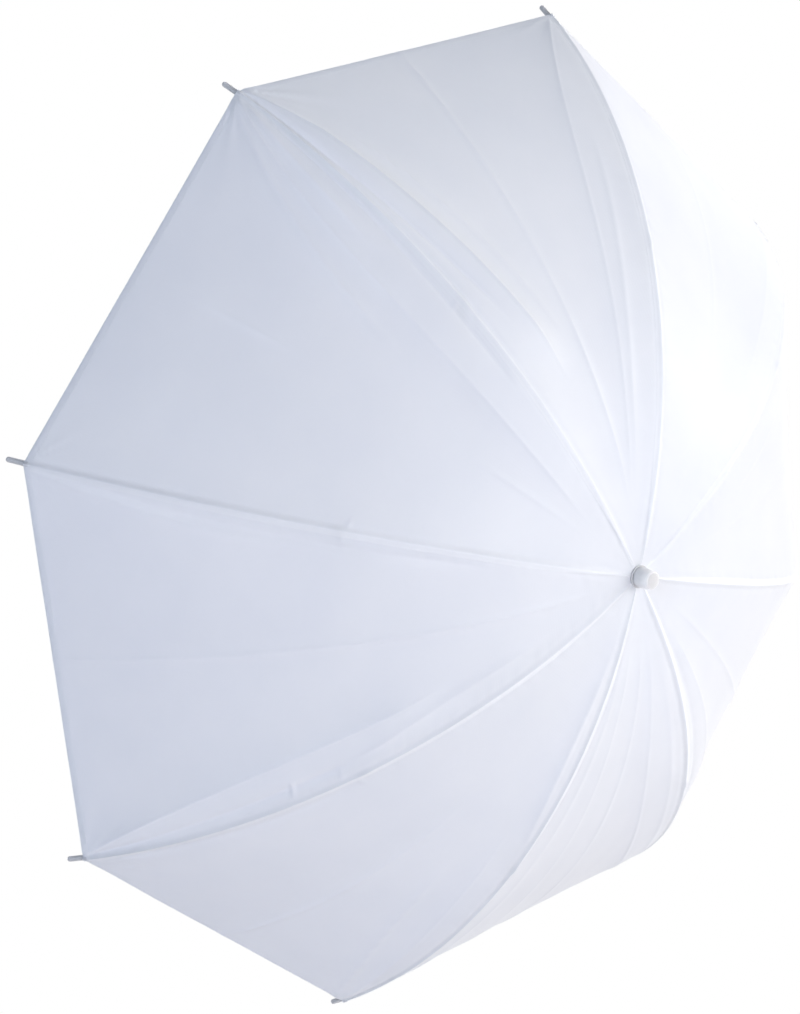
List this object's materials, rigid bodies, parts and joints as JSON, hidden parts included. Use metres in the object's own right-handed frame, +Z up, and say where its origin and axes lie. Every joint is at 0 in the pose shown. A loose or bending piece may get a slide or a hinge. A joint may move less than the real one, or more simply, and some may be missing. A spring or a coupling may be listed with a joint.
{
  "type": "umbrella reflector",
  "caption": "White translucent shoot-through photo umbrella: a curved nylon canopy on sprung ribs that folds along a slim shaft for a light's clamp.",
  "frame": {"origin": "on the shaft's axis, in the middle of the bare stem at the free end, where an umbrella clamp grips it", "axes": "+Y along the shaft towards its free end, so the canopy's closed side faces -Y; +Z up; +X to the right seen from the closed side"},
  "size_m": [0.6964, 0.5786, 0.6964],
  "materials": {
    "shaft_tube": "polished chrome-plated steel tube",
    "rib_steel": "zinc-plated spring steel wire",
    "small_steel": "plated steel",
    "pale_plastic": "satin moulded plastic",
    "grey_plastic": "satin moulded plastic",
    "white_nylon": "translucent white woven nylon"
  },
  "bodies": {
    "shaft": {"shaft_tube": "shaft_tube", "shaft_end_plug": "grey_plastic", "stop_ring": "small_steel", "stop_pin": "small_steel", "catch_pin": "small_steel", "crown": "pale_plastic", "crown_wire": "small_steel", "fabric_washer": "pale_plastic", "top_cap": "pale_plastic"},
    "catch": {"catch_spring": "small_steel"},
    "runner": {"runner": "pale_plastic", "runner_wire": "small_steel"},
    "rib_1": {"rib_1": "rib_steel", "rib_tip_1": "pale_plastic", "rib_bracket_1": "small_steel"},
    "rib_2": {"rib_2": "rib_steel", "rib_tip_2": "pale_plastic", "rib_bracket_2": "small_steel"},
    "rib_3": {"rib_3": "rib_steel", "rib_tip_3": "pale_plastic", "rib_bracket_3": "small_steel"},
    "rib_4": {"rib_4": "rib_steel", "rib_tip_4": "pale_plastic", "rib_bracket_4": "small_steel"},
    "rib_5": {"rib_5": "rib_steel", "rib_tip_5": "pale_plastic", "rib_bracket_5": "small_steel"},
    "rib_6": {"rib_6": "rib_steel", "rib_tip_6": "pale_plastic", "rib_bracket_6": "small_steel"},
    "rib_7": {"rib_7": "rib_steel", "rib_tip_7": "pale_plastic", "rib_bracket_7": "small_steel"},
    "rib_8": {"rib_8": "rib_steel", "rib_tip_8": "pale_plastic", "rib_bracket_8": "small_steel"},
    "stretcher_1": {"stretcher_1": "rib_steel"},
    "stretcher_2": {"stretcher_2": "rib_steel"},
    "stretcher_3": {"stretcher_3": "rib_steel"},
    "stretcher_4": {"stretcher_4": "rib_steel"},
    "stretcher_5": {"stretcher_5": "rib_steel"},
    "stretcher_6": {"stretcher_6": "rib_steel"},
    "stretcher_7": {"stretcher_7": "rib_steel"},
    "stretcher_8": {"stretcher_8": "rib_steel"},
    "gore_1_left": {"canopy_1_left": "white_nylon"},
    "gore_1_right": {"canopy_1_right": "white_nylon"},
    "gore_2_left": {"canopy_2_left": "white_nylon"},
    "gore_2_right": {"canopy_2_right": "white_nylon"},
    "gore_3_left": {"canopy_3_left": "white_nylon"},
    "gore_3_right": {"canopy_3_right": "white_nylon"},
    "gore_4_left": {"canopy_4_left": "white_nylon"},
    "gore_4_right": {"canopy_4_right": "white_nylon"},
    "gore_5_left": {"canopy_5_left": "white_nylon"},
    "gore_5_right": {"canopy_5_right": "white_nylon"},
    "gore_6_left": {"canopy_6_left": "white_nylon"},
    "gore_6_right": {"canopy_6_right": "white_nylon"},
    "gore_7_left": {"canopy_7_left": "white_nylon"},
    "gore_7_right": {"canopy_7_right": "white_nylon"},
    "gore_8_left": {"canopy_8_left": "white_nylon"},
    "gore_8_right": {"canopy_8_right": "white_nylon"}
  },
  "joints": [
    {"name": "fold", "type": "hinge", "parent": "shaft", "child": "rib_1", "pos_m": [0.00173, -0.5, 0.00627], "axis": [-0.9641, 0, 0.2656], "range_deg": [0, 58], "deforming": ["canopy_1_left", "canopy_1_right", "canopy_2_left", "canopy_2_right", "canopy_3_left", "canopy_3_right", "canopy_4_left", "canopy_4_right", "canopy_5_left", "canopy_5_right", "canopy_6_left", "canopy_6_right", "canopy_7_left", "canopy_7_right", "canopy_8_left", "canopy_8_right", "catch_spring"]},
    {"name": "rib_2_fold", "type": "hinge", "parent": "shaft", "child": "rib_2", "pos_m": [-0.00321, -0.5, 0.00565], "axis": [-0.8695, 0, -0.4939], "range_deg": [0, 58]},
    {"name": "rib_3_fold", "type": "hinge", "parent": "shaft", "child": "rib_3", "pos_m": [-0.00627, -0.5, 0.00173], "axis": [-0.2656, 0, -0.9641], "range_deg": [0, 58]},
    {"name": "rib_4_fold", "type": "hinge", "parent": "shaft", "child": "rib_4", "pos_m": [-0.00565, -0.5, -0.00321], "axis": [0.4939, 0, -0.8695], "range_deg": [0, 58]},
    {"name": "rib_5_fold", "type": "hinge", "parent": "shaft", "child": "rib_5", "pos_m": [-0.00173, -0.5, -0.00627], "axis": [0.9641, 0, -0.2656], "range_deg": [0, 58]},
    {"name": "rib_6_fold", "type": "hinge", "parent": "shaft", "child": "rib_6", "pos_m": [0.00321, -0.5, -0.00565], "axis": [0.8695, 0, 0.4939], "range_deg": [0, 58]},
    {"name": "rib_7_fold", "type": "hinge", "parent": "shaft", "child": "rib_7", "pos_m": [0.00627, -0.5, -0.00173], "axis": [0.2656, 0, 0.9641], "range_deg": [0, 58]},
    {"name": "rib_8_fold", "type": "hinge", "parent": "shaft", "child": "rib_8", "pos_m": [0.00565, -0.5, 0.00321], "axis": [-0.4939, 0, 0.8695], "range_deg": [0, 58]},
    {"name": "stretcher_1_pivot", "type": "hinge", "parent": "rib_1", "child": "stretcher_1", "pos_m": [0.05604, -0.44389, 0.20347], "axis": [-0.9641, 0, 0.2656], "range_deg": [-116, 0]},
    {"name": "stretcher_2_pivot", "type": "hinge", "parent": "rib_2", "child": "stretcher_2", "pos_m": [-0.10424, -0.44389, 0.1835], "axis": [-0.8695, 0, -0.4939], "range_deg": [-116, 0]},
    {"name": "stretcher_3_pivot", "type": "hinge", "parent": "rib_3", "child": "stretcher_3", "pos_m": [-0.20347, -0.44389, 0.05604], "axis": [-0.2656, 0, -0.9641], "range_deg": [-116, 0]},
    {"name": "stretcher_4_pivot", "type": "hinge", "parent": "rib_4", "child": "stretcher_4", "pos_m": [-0.1835, -0.44389, -0.10424], "axis": [0.4939, 0, -0.8695], "range_deg": [-116, 0]},
    {"name": "stretcher_5_pivot", "type": "hinge", "parent": "rib_5", "child": "stretcher_5", "pos_m": [-0.05604, -0.44389, -0.20347], "axis": [0.9641, 0, -0.2656], "range_deg": [-116, 0]},
    {"name": "stretcher_6_pivot", "type": "hinge", "parent": "rib_6", "child": "stretcher_6", "pos_m": [0.10424, -0.44389, -0.1835], "axis": [0.8695, 0, 0.4939], "range_deg": [-116, 0]},
    {"name": "stretcher_7_pivot", "type": "hinge", "parent": "rib_7", "child": "stretcher_7", "pos_m": [0.20347, -0.44389, -0.05604], "axis": [0.2656, 0, 0.9641], "range_deg": [-116, 0]},
    {"name": "stretcher_8_pivot", "type": "hinge", "parent": "rib_8", "child": "stretcher_8", "pos_m": [0.1835, -0.44389, 0.10424], "axis": [-0.4939, 0, 0.8695], "range_deg": [-116, 0]},
    {"name": "runner_pivot", "type": "hinge", "parent": "stretcher_1", "child": "runner", "pos_m": [0.00173, -0.38777, 0.00627], "axis": [-0.9641, 0, 0.2656], "range_deg": [0, 58]},
    {"name": "gore_1_left_fold", "type": "hinge", "parent": "rib_1", "child": "gore_1_left", "pos_m": [0.00173, -0.5, 0.00627], "axis": [0.3005, 0.4147, -0.8589], "range_deg": [0, 21.8]},
    {"name": "gore_1_right_fold", "type": "hinge", "parent": "rib_1", "child": "gore_1_right", "pos_m": [0.00173, -0.5, 0.00627], "axis": [0.6979, -0.4147, 0.5839], "range_deg": [0, 21.8]},
    {"name": "gore_2_left_fold", "type": "hinge", "parent": "rib_2", "child": "gore_2_left", "pos_m": [-0.00321, -0.5, 0.00565], "axis": [0.8198, 0.4147, -0.3948], "range_deg": [0, 21.8]},
    {"name": "gore_2_right_fold", "type": "hinge", "parent": "rib_2", "child": "gore_2_right", "pos_m": [-0.00321, -0.5, 0.00565], "axis": [0.0807, -0.4147, 0.9064], "range_deg": [0, 21.8]},
    {"name": "gore_3_left_fold", "type": "hinge", "parent": "rib_3", "child": "gore_3_left", "pos_m": [-0.00627, -0.5, 0.00173], "axis": [0.8589, 0.4147, 0.3005], "range_deg": [0, 21.8]},
    {"name": "gore_3_right_fold", "type": "hinge", "parent": "rib_3", "child": "gore_3_right", "pos_m": [-0.00627, -0.5, 0.00173], "axis": [-0.5839, -0.4147, 0.6979], "range_deg": [0, 21.8]},
    {"name": "gore_4_left_fold", "type": "hinge", "parent": "rib_4", "child": "gore_4_left", "pos_m": [-0.00565, -0.5, -0.00321], "axis": [0.3948, 0.4147, 0.8198], "range_deg": [0, 21.8]},
    {"name": "gore_4_right_fold", "type": "hinge", "parent": "rib_4", "child": "gore_4_right", "pos_m": [-0.00565, -0.5, -0.00321], "axis": [-0.9064, -0.4147, 0.0807], "range_deg": [0, 21.8]},
    {"name": "gore_5_left_fold", "type": "hinge", "parent": "rib_5", "child": "gore_5_left", "pos_m": [-0.00173, -0.5, -0.00627], "axis": [-0.3005, 0.4147, 0.8589], "range_deg": [0, 21.8]},
    {"name": "gore_5_right_fold", "type": "hinge", "parent": "rib_5", "child": "gore_5_right", "pos_m": [-0.00173, -0.5, -0.00627], "axis": [-0.6979, -0.4147, -0.5839], "range_deg": [0, 21.8]},
    {"name": "gore_6_left_fold", "type": "hinge", "parent": "rib_6", "child": "gore_6_left", "pos_m": [0.00321, -0.5, -0.00565], "axis": [-0.8198, 0.4147, 0.3948], "range_deg": [0, 21.8]},
    {"name": "gore_6_right_fold", "type": "hinge", "parent": "rib_6", "child": "gore_6_right", "pos_m": [0.00321, -0.5, -0.00565], "axis": [-0.0807, -0.4147, -0.9064], "range_deg": [0, 21.8]},
    {"name": "gore_7_left_fold", "type": "hinge", "parent": "rib_7", "child": "gore_7_left", "pos_m": [0.00627, -0.5, -0.00173], "axis": [-0.8589, 0.4147, -0.3005], "range_deg": [0, 21.8]},
    {"name": "gore_7_right_fold", "type": "hinge", "parent": "rib_7", "child": "gore_7_right", "pos_m": [0.00627, -0.5, -0.00173], "axis": [0.5839, -0.4147, -0.6979], "range_deg": [0, 21.8]},
    {"name": "gore_8_left_fold", "type": "hinge", "parent": "rib_8", "child": "gore_8_left", "pos_m": [0.00565, -0.5, 0.00321], "axis": [-0.3948, 0.4147, -0.8198], "range_deg": [0, 21.8]},
    {"name": "gore_8_right_fold", "type": "hinge", "parent": "rib_8", "child": "gore_8_right", "pos_m": [0.00565, -0.5, 0.00321], "axis": [0.9064, -0.4147, -0.0807], "range_deg": [0, 21.8]},
    {"name": "catch_press", "type": "hinge", "parent": "shaft", "child": "catch", "pos_m": [-0.00015, -0.33197, 0.00119], "axis": [-0.9923, 0, -0.1236], "range_deg": [0, 4.4], "stiffness_Nm_per_rad": 0.6, "springref_deg": -2.86}
  ],
  "couplings": [
    {"joint": "rib_2_fold", "follows": "fold", "ratio": 1},
    {"joint": "rib_3_fold", "follows": "fold", "ratio": 1},
    {"joint": "rib_4_fold", "follows": "fold", "ratio": 1},
    {"joint": "rib_5_fold", "follows": "fold", "ratio": 1},
    {"joint": "rib_6_fold", "follows": "fold", "ratio": 1},
    {"joint": "rib_7_fold", "follows": "fold", "ratio": 1},
    {"joint": "rib_8_fold", "follows": "fold", "ratio": 1},
    {"joint": "stretcher_1_pivot", "follows": "fold", "ratio": -2},
    {"joint": "stretcher_2_pivot", "follows": "fold", "ratio": -2},
    {"joint": "stretcher_3_pivot", "follows": "fold", "ratio": -2},
    {"joint": "stretcher_4_pivot", "follows": "fold", "ratio": -2},
    {"joint": "stretcher_5_pivot", "follows": "fold", "ratio": -2},
    {"joint": "stretcher_6_pivot", "follows": "fold", "ratio": -2},
    {"joint": "stretcher_7_pivot", "follows": "fold", "ratio": -2},
    {"joint": "stretcher_8_pivot", "follows": "fold", "ratio": -2},
    {"joint": "runner_pivot", "follows": "fold", "ratio": 1},
    {"joint": "gore_1_left_fold", "follows": "fold", "ratio": 0.37577},
    {"joint": "gore_1_right_fold", "follows": "fold", "ratio": 0.37577},
    {"joint": "gore_2_left_fold", "follows": "fold", "ratio": 0.37577},
    {"joint": "gore_2_right_fold", "follows": "fold", "ratio": 0.37577},
    {"joint": "gore_3_left_fold", "follows": "fold", "ratio": 0.37577},
    {"joint": "gore_3_right_fold", "follows": "fold", "ratio": 0.37577},
    {"joint": "gore_4_left_fold", "follows": "fold", "ratio": 0.37577},
    {"joint": "gore_4_right_fold", "follows": "fold", "ratio": 0.37577},
    {"joint": "gore_5_left_fold", "follows": "fold", "ratio": 0.37577},
    {"joint": "gore_5_right_fold", "follows": "fold", "ratio": 0.37577},
    {"joint": "gore_6_left_fold", "follows": "fold", "ratio": 0.37577},
    {"joint": "gore_6_right_fold", "follows": "fold", "ratio": 0.37577},
    {"joint": "gore_7_left_fold", "follows": "fold", "ratio": 0.37577},
    {"joint": "gore_7_right_fold", "follows": "fold", "ratio": 0.37577},
    {"joint": "gore_8_left_fold", "follows": "fold", "ratio": 0.37577},
    {"joint": "gore_8_right_fold", "follows": "fold", "ratio": 0.37577}
  ]
}
